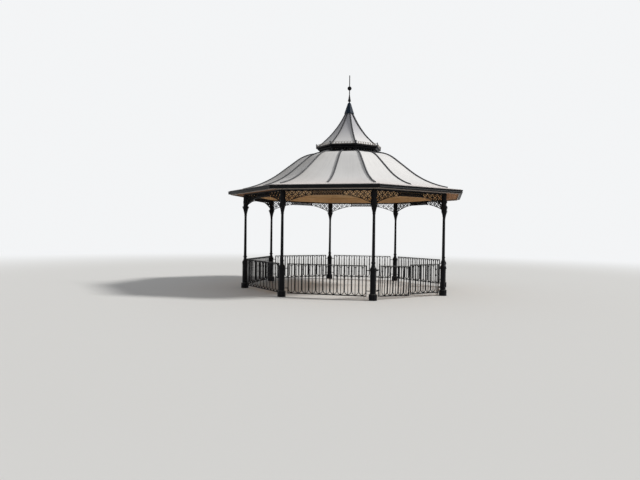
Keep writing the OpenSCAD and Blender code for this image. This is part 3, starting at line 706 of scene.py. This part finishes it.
dress(IRON, "gate_leaf_left", "gate_leaf_right")
leaf_relief = []
for i in range(1, LEAF_LOOPS + 1):
    for row in ROSETTE_ROWS:
        leaf_relief += rosette(meet + i * leaf_pitch, row)
dropped = [sagged(grid, LEAF_SAG) * np.array([-1, 1, 1]) for grid in leaf_relief]
make_piece("gate_rosettes_right", leaf_relief, IRON, body="gate_right")
make_piece("gate_rosettes_left", dropped, IRON, body="gate_left")

# The eave: a ring beam on the columns, varnished inside and painted black outside, a boarded soffit,
# a buff painted fascia board and a moulded cast iron gutter screwed to it.


def bay_places():
    """Group: a point's distance out from the centre square to its bay, its distance along the bay,
    and the bay's number, by folding its bearing into one eighth of a turn."""
    group, entry, leave = new_group(
        "bay_places", {"Point": "Vector"}, {"Out": "Float", "Along": "Float", "Bay": "Float"}
    )
    split = add_node(group, "SeparateXYZ", {0: entry["Point"]})
    x, y = split.outputs[0], split.outputs[1]
    bearing = calc(group, "ADD", calc(group, "ARCTAN2", y, x), HALF)
    folded = calc(group, "SUBTRACT", calc(group, "FLOORED_MODULO", bearing, 2 * HALF), HALF)
    square = calc(group, "ADD", calc(group, "MULTIPLY", x, x), calc(group, "MULTIPLY", y, y))
    radius = calc(group, "SQRT", square)
    out = calc(group, "MULTIPLY", radius, calc(group, "COSINE", folded))
    along = calc(group, "MULTIPLY", radius, calc(group, "SINE", folded))
    bay = calc(group, "FLOOR", calc(group, "DIVIDE", bearing, 2 * HALF))
    group.links.new(out, leave["Out"])
    group.links.new(along, leave["Along"])
    group.links.new(bay, leave["Bay"])
    return group


def own_shade(tree, key):
    """A value between 0 and 1 that looks random, the same each time for the same number."""
    return add_node(tree, "TexWhiteNoise", {"W": key}, noise_dimensions="1D").outputs["Value"]


def boarding():
    """Group: boards side by side across a distance. A groove opens at each joint, each board has
    its own shade, and the grain is noise drawn out along the board."""
    group, entry, leave = new_group(
        "boarding",
        {"Across": "Float", "Along": "Float", "Bay": "Float", "Board Width": "Float"},
        {"Groove": "Float", "Shade": "Float", "Grain": "Float"},
    )
    count = calc(group, "DIVIDE", entry["Across"], entry["Board Width"])
    board = calc(group, "FLOOR", count)
    beside = calc(group, "ABSOLUTE", calc(group, "SUBTRACT", calc(group, "FRACT", count), 0.5))
    key = calc(group, "MULTIPLY_ADD", entry["Bay"], 37.0, board)
    lengthwise = calc(group, "MULTIPLY", entry["Along"], 1.6)
    crosswise = calc(group, "MULTIPLY", count, 5.0)
    where = add_node(group, "CombineXYZ", {0: lengthwise, 1: crosswise, 2: key}).outputs[0]
    grain = noise(group, where, 3.0, detail=6.0, roughness=0.65)
    group.links.new(ramp(group, beside, 0.455, 0.49), leave["Groove"])
    group.links.new(own_shade(group, key), leave["Shade"])
    group.links.new(ramp(group, grain, 0.3, 0.72), leave["Grain"])
    return group


BAY_PLACES = bay_places()
BOARDING = boarding()


def lay_boards(tree, across, place, width):
    """Boards of one width, counted across a distance and running along the bays."""
    inputs = {"Across": across, "Along": place["Along"], "Bay": place["Bay"], "Board Width": width}
    return use_group(tree, BOARDING, inputs)


JOINT_SHADOW = (0.035, 0.018, 0.008, 1.0)
BEAM_BLACK = (0.0065, 0.0065, 0.0075, 1.0)
PAINT_EDGE = 0.001


def varnished_boards(name, light, dark, width, shine=0.42, gloss=0.5, painted_beyond=None):
    """Varnished softwood boards laid parallel to the eaves, darker in the joints and where damp, and
    painted black further out than a given distance."""
    material, tree, shader, point = new_finish(name)
    place = use_group(tree, BAY_PLACES, {"Point": point})
    boards = lay_boards(tree, place["Out"], place, width)
    age = use_group(tree, WEATHERING, {"Point": point, "Patch Size": 0.8})
    own = calc(tree, "MULTIPLY", boards["Shade"], 0.45)
    wood = tint(tree, calc(tree, "MULTIPLY_ADD", boards["Grain"], 0.55, own), dark, light)
    damp = tint(tree, calc(tree, "MULTIPLY", age["Patches"], 0.3), wood, dark)
    colour = tint(tree, calc(tree, "MULTIPLY", boards["Groove"], 0.8), damp, JOINT_SHADOW)
    if painted_beyond:
        low, high = painted_beyond - PAINT_EDGE, painted_beyond + PAINT_EDGE
        colour = tint(tree, ramp(tree, place["Out"], low, high), colour, BEAM_BLACK)
    tree.links.new(colour, shader["Base Color"])
    tree.links.new(calc(tree, "MULTIPLY_ADD", boards["Grain"], 0.18, shine), shader["Roughness"])
    shader["Specular IOR Level"].default_value = gloss
    proud = calc(tree, "SUBTRACT", 1.0, boards["Groove"])
    height = calc(tree, "MULTIPLY_ADD", boards["Grain"], 0.12, proud)
    emboss(tree, shader, height, 0.7, 0.004)
    return material


NEW_VARNISH = {"light": (0.74, 0.49, 0.25, 1.0), "dark": (0.52, 0.31, 0.14, 1.0)}
SOFFIT = varnished_boards(
    "dull_varnished_soffit",
    light=(0.46, 0.24, 0.115, 1.0),
    dark=(0.26, 0.12, 0.050, 1.0),
    width=0.095,
    shine=0.72,
    gloss=0.12,
)
BEAM = varnished_boards(
    "varnished_beam", width=0.20, painted_beyond=column_a - 0.02, **NEW_VARNISH
)
dress(SOFFIT, "soffit_boards")
dress(BEAM, "ring_beam")


def painted_board(name, paint, bare):
    """Oil paint on a planed board: faint grain, hairline cracks along it and a little dirt."""
    material, tree, shader, point = new_finish(name)
    place = use_group(tree, BAY_PLACES, {"Point": point})
    height = add_node(tree, "SeparateXYZ", {0: point}).outputs[2]
    boards = lay_boards(tree, height, place, 0.9)
    age = use_group(tree, WEATHERING, {"Point": point, "Patch Size": 0.5})
    worn = calc(tree, "MULTIPLY", age["Patches"], boards["Grain"])
    colour = tint(tree, calc(tree, "MULTIPLY", worn, 0.35), paint, bare)
    tree.links.new(colour, shader["Base Color"])
    tree.links.new(calc(tree, "MULTIPLY_ADD", worn, 0.2, 0.5), shader["Roughness"])
    emboss(tree, shader, boards["Grain"], 0.3, 0.001)
    return material


FASCIA = painted_board(
    "buff_fascia_paint", paint=(0.36, 0.30, 0.26, 1.0), bare=(0.16, 0.13, 0.105, 1.0)
)
dress(FASCIA, "fascia")
dress(IRON, "gutter")

# The ceiling: varnished matchboard nailed under the rafters, parallel to the eaves, rising as a
# boarded dome to a flat crown. A hollow moulding is pinned in the corner between it and the beam.

CEILING = varnished_boards("varnished_ceiling", width=0.10, **NEW_VARNISH)
dress(CEILING, "ceiling_boards", "lantern_deck")


def swept_round(profile):
    """Carries a closed outline, given as distance out square to a bay and height, round the octagon.

    At each corner the distance is divided by the cosine of half a bay, which is the mitre.
    """
    bearing = -math.pi / 2 + HALF + 2 * HALF * np.arange(9)
    closed = np.concatenate([profile, profile[:1]])
    out = closed[None, :, 0] / math.cos(HALF)
    x, y = out * np.cos(bearing)[:, None], out * np.sin(bearing)[:, None]
    return np.stack([x, y, np.broadcast_to(closed[:, 1], x.shape)], axis=-1)


SCOTIA_DROP = 0.040
SCOTIA_REACH = 0.054
SCOTIA_LIFT = 0.016
SCOTIA_EDGE = 0.008
SCOTIA_STEP = 0.002
SCOTIA_GAP = 0.0005
beam_in_a = 2 * column_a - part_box("ring_beam")[1].x
beam_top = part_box("ring_beam")[1].z


def ceiling_scotia():
    """Section of the moulding, from the beam's face: a square edge and a small step, a hollow whose
    reach follows one less the cosine as its height follows the sine, and a square edge below the
    boards, cut to their slope on top."""
    edge = SCOTIA_EDGE
    corner = np.linspace(0, np.pi / 2, 7)
    reach = SCOTIA_REACH - 3 * edge - SCOTIA_STEP
    hollow_out = -2 * edge - reach * (1 - np.cos(corner))
    hollow_up = SCOTIA_STEP + (SCOTIA_DROP - edge - 2 * SCOTIA_STEP) * np.sin(corner)
    out = np.concatenate([[0, -edge], hollow_out, [-SCOTIA_REACH, -SCOTIA_REACH, 0]])
    top = [SCOTIA_DROP - edge, SCOTIA_DROP + SCOTIA_LIFT, SCOTIA_DROP]
    up = np.concatenate([[0, -SCOTIA_STEP], hollow_up, top])
    return np.stack([beam_in_a + SCOTIA_GAP + out, beam_top - SCOTIA_DROP + up], axis=1)


scotia = swept_round(ceiling_scotia())
make_piece("ceiling_moulding", [scotia], CEILING, flat=True)

# The roof: pale painted sheet bent to a hollow eave and a round shoulder, in two sheets to a bay,
# with water marks that run down from the lantern and a darker, warmer tone along the eave.

# The side away from the sun gets a green-brown damp colour, partly real growth and partly painted
# shade.
SIDE_AWAY_FROM_SUN = (-0.93, 0.36, 0.0)
DAMP_FILM_AND_SHADE = (0.40, 0.36, 0.31, 1.0)
EAVE_TONE_START = 1.25
EAVE_TONE_FULL = 0.15
NEAR_AXIS = 0.05
SHEET_GLOSS = 0.2
eave_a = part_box("roof_panels")[1].x
drum_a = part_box("lantern_drum")[1].x


def roof_sheet(name, clean, dull, eave_tone_and_highlight, eave, crown, crown_reach, crown_share):
    """Painted sheet: each sheet its own shade, streaks that run down, a darker and warmer tone near
    the eave, which on the spire is lighter and a painted highlight, green-brown damp growth with
    painted shade on the side away from the sun, painted shade below the crown, and shallow
    oil-canning from broad noise."""
    material, tree, shader, point = new_finish(name)
    place = use_group(tree, BAY_PLACES, {"Point": point})
    age = use_group(tree, WEATHERING, {"Point": point, "Patch Size": 0.9})
    out, along = place["Out"], place["Along"]
    key = calc(tree, "MULTIPLY_ADD", place["Bay"], 2.0, calc(tree, "GREATER_THAN", along, 0.0))
    distance = calc(tree, "MAXIMUM", out, NEAR_AXIS)
    fanned = calc(tree, "MULTIPLY", calc(tree, "DIVIDE", along, distance), 60.0)
    where = add_node(tree, "CombineXYZ", {0: fanned, 1: out, 2: key}).outputs[0]
    run = ramp(tree, noise(tree, where, 0.8, detail=5.0, roughness=0.6), 0.45, 0.72)
    patched = calc(tree, "MULTIPLY_ADD", age["Patches"], 0.6, run)
    marked = calc(tree, "MULTIPLY", patched, 0.22)
    dimmed = calc(tree, "MULTIPLY_ADD", own_shade(tree, key), 0.12, marked)
    washed = tint(tree, dimmed, clean, dull)
    # Green-brown damp growth on the side away from the sun, partly painted shade on that side.
    facing = add_node(tree, "VectorMath", {0: point, 1: SIDE_AWAY_FROM_SUN}, operation="DOT_PRODUCT")
    turned = calc(tree, "DIVIDE", facing.outputs["Value"], distance)
    thickness = calc(tree, "MULTIPLY_ADD", age["Patches"], 0.15, 0.25)
    film_and_shade = calc(tree, "MULTIPLY", ramp(tree, turned, 0.35, 1.0), thickness)
    filmed_and_shaded = tint(tree, film_and_shade, washed, DAMP_FILM_AND_SHADE)
    # Towards the eave the sheet is mixed to another tone: darker and warmer on the roof, and lighter
    # on the spire, where it is a painted highlight over the lower part.
    toward_eave = ramp(tree, out, eave - EAVE_TONE_START, eave - EAVE_TONE_FULL)
    near_eave = tint(tree, calc(tree, "MULTIPLY", toward_eave, 0.75), filmed_and_shaded, eave_tone_and_highlight)
    # Painted shade: darker below the crown, round the foot of the lantern on the roof and over the
    # steep upper faces of the spire.
    painted_crown_shade = ramp(tree, out, crown, crown + crown_reach, 1.0, 0.0)
    colour = tint(tree, calc(tree, "MULTIPLY", painted_crown_shade, crown_share), near_eave, dull)
    tree.links.new(colour, shader["Base Color"])
    tree.links.new(calc(tree, "MULTIPLY_ADD", marked, 0.5, 0.52), shader["Roughness"])
    shader["Specular IOR Level"].default_value = SHEET_GLOSS
    emboss(tree, shader, noise(tree, point, 1.8, detail=2.0), 0.35, 0.02)
    return material


SHEET = roof_sheet(
    "pale_roof_sheet",
    clean=(0.80, 0.79, 0.78, 1.0),
    dull=(0.55, 0.54, 0.54, 1.0),
    eave_tone_and_highlight=(0.74, 0.665, 0.64, 1.0),
    eave=eave_a,
    crown=drum_a,
    crown_reach=0.35,
    crown_share=0.35,
)
dress(SHEET, "roof_panels")


def lead(name, colour, bright):
    """Dressed lead over a wooden roll: dull grey, rubbed brighter and smoother in patches, dented."""
    material, tree, shader, point = new_finish(name)
    rubbed = use_group(tree, WEATHERING, {"Point": point, "Patch Size": 0.25})["Patches"]
    shade = tint(tree, calc(tree, "MULTIPLY", rubbed, 0.5), colour, bright)
    tree.links.new(shade, shader["Base Color"])
    tree.links.new(calc(tree, "MULTIPLY_ADD", rubbed, -0.15, 0.55), shader["Roughness"])
    emboss(tree, shader, noise(tree, point, 18.0, detail=3.0), 0.4, 0.004)
    return material


ROLL = lead(
    "dark_roll_lead", colour=(0.055, 0.056, 0.062, 1.0), bright=(0.12, 0.12, 0.125, 1.0)
)
dress(ROLL, "roof_rolls")

# The apron: blackened sheet lead turned up against the lantern and dressed down over the round
# shoulder of the roof, between and under the rolls. The spire's rolls are covered with the same.

SHOULDER_R = 1.172
SHOULDER_A = 0.963
APRON_EDGE = math.radians(19.5)
APRON_UPSTAND = 0.014
APRON_T = 0.003
APRON_GAP = 0.001
DRUM_GAP = 0.0015
deck_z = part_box("lantern_drum")[0].z
DARK_LEAD = lead(
    "tarred_roll_lead", colour=(0.020, 0.021, 0.025, 1.0), bright=(0.055, 0.056, 0.060, 1.0)
)


def apron_arc(raised, slope):
    """Points over an arc about the shoulder's centre, at slopes from level and raised by a height."""
    r = SHOULDER_R + raised
    centre_z = deck_z - SHOULDER_R
    return np.stack([SHOULDER_A + r * np.sin(slope), centre_z + r * np.cos(slope)], axis=1)


def apron():
    """Section of the apron: down its upstand, out over an arc about the shoulder's centre, raised by
    its own thickness, round its edge and back along the arc below."""
    start = math.asin((drum_a + DRUM_GAP - SHOULDER_A) / SHOULDER_R)
    slope = np.linspace(start, APRON_EDGE, 12)
    over = apron_arc(APRON_GAP + APRON_T, slope)
    under = apron_arc(APRON_GAP, slope)[::-1]
    foot, shoulder = over[0]
    top = deck_z + APRON_UPSTAND
    inner, outer = foot - APRON_T / 3, foot + APRON_T
    return np.concatenate([[[inner, top], [outer, top], [outer, shoulder]], over[1:], under])


make_piece("lantern_apron", [swept_round(apron())], DARK_LEAD, flat=True)

# The lantern: a cast iron drum of upright vents under a hollow cornice, with a pale pierced
# cresting whose corner knobs are dark.

CRESTING_BUFF = (0.40, 0.36, 0.32, 1.0)
CRESTING_BARE = (0.17, 0.15, 0.13, 1.0)
KNOB_BLACK = (0.012, 0.014, 0.018, 1.0)
KNOB_START = math.tan(HALF) - 0.060
KNOB_FULL = math.tan(HALF) - 0.048
dress(IRON, "lantern_drum", "lantern_cornice")


def cresting_paint():
    """Pale buff paint on the rings, and black on the knobs at the corners."""
    material, tree, shader, point = new_finish("buff_cresting")
    place = use_group(tree, BAY_PLACES, {"Point": point})
    age = use_group(tree, WEATHERING, {"Point": point, "Patch Size": 0.12})
    lean = calc(tree, "DIVIDE", calc(tree, "ABSOLUTE", place["Along"]), place["Out"])
    corner = ramp(tree, lean, KNOB_START, KNOB_FULL)
    worn = calc(tree, "MULTIPLY", age["Patches"], 0.5)
    buff = tint(tree, worn, CRESTING_BUFF, CRESTING_BARE)
    tree.links.new(tint(tree, corner, buff, KNOB_BLACK), shader["Base Color"])
    tree.links.new(calc(tree, "MULTIPLY_ADD", age["Patches"], 0.2, 0.45), shader["Roughness"])
    return material


dress(cresting_paint(), "lantern_cresting")

# The spire: eight hollow sheets, darkened towards the top by painted shade and lightened over
# their lower part by a painted highlight, with a blackened roll on each hip, under an octagonal
# cap of sheet painted slate blue.

SPIRE_SHEET = roof_sheet(
    "pale_spire_sheet",
    clean=(0.74, 0.74, 0.76, 1.0),
    # The darker colour, used for water marks and for the painted shade that darkens the spire towards
    # its top.
    dull=(0.30, 0.30, 0.34, 1.0),
    # A lighter tone over the spire's lower part: a painted highlight.
    eave_tone_and_highlight=(0.80, 0.785, 0.775, 1.0),
    eave=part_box("spire_panels")[1].x,
    crown=0.12,
    crown_reach=0.85,
    crown_share=0.72,
)
CAP = painted_iron(
    "slate_blue_cap",
    paint=(0.006, 0.015, 0.030, 1.0),
    dust=(0.018, 0.028, 0.042, 1.0),
    chip=(0.034, 0.044, 0.056, 1.0),
    # On the cap's faces that look up: dust at rest and a painted sky reflection.
    dust_and_sky_sheen=(0.034, 0.044, 0.056, 1.0),
    roughness=0.45,
    edge=0.006,
)
dress(SPIRE_SHEET, "spire_panels")
dress(DARK_LEAD, "spire_rolls")
dress(CAP, "spire_cap")

# The finial: a turned iron stem with a ball and a long point, let into the top of the cap and
# painted with the rest of the ironwork.

dress(IRON, "finial")
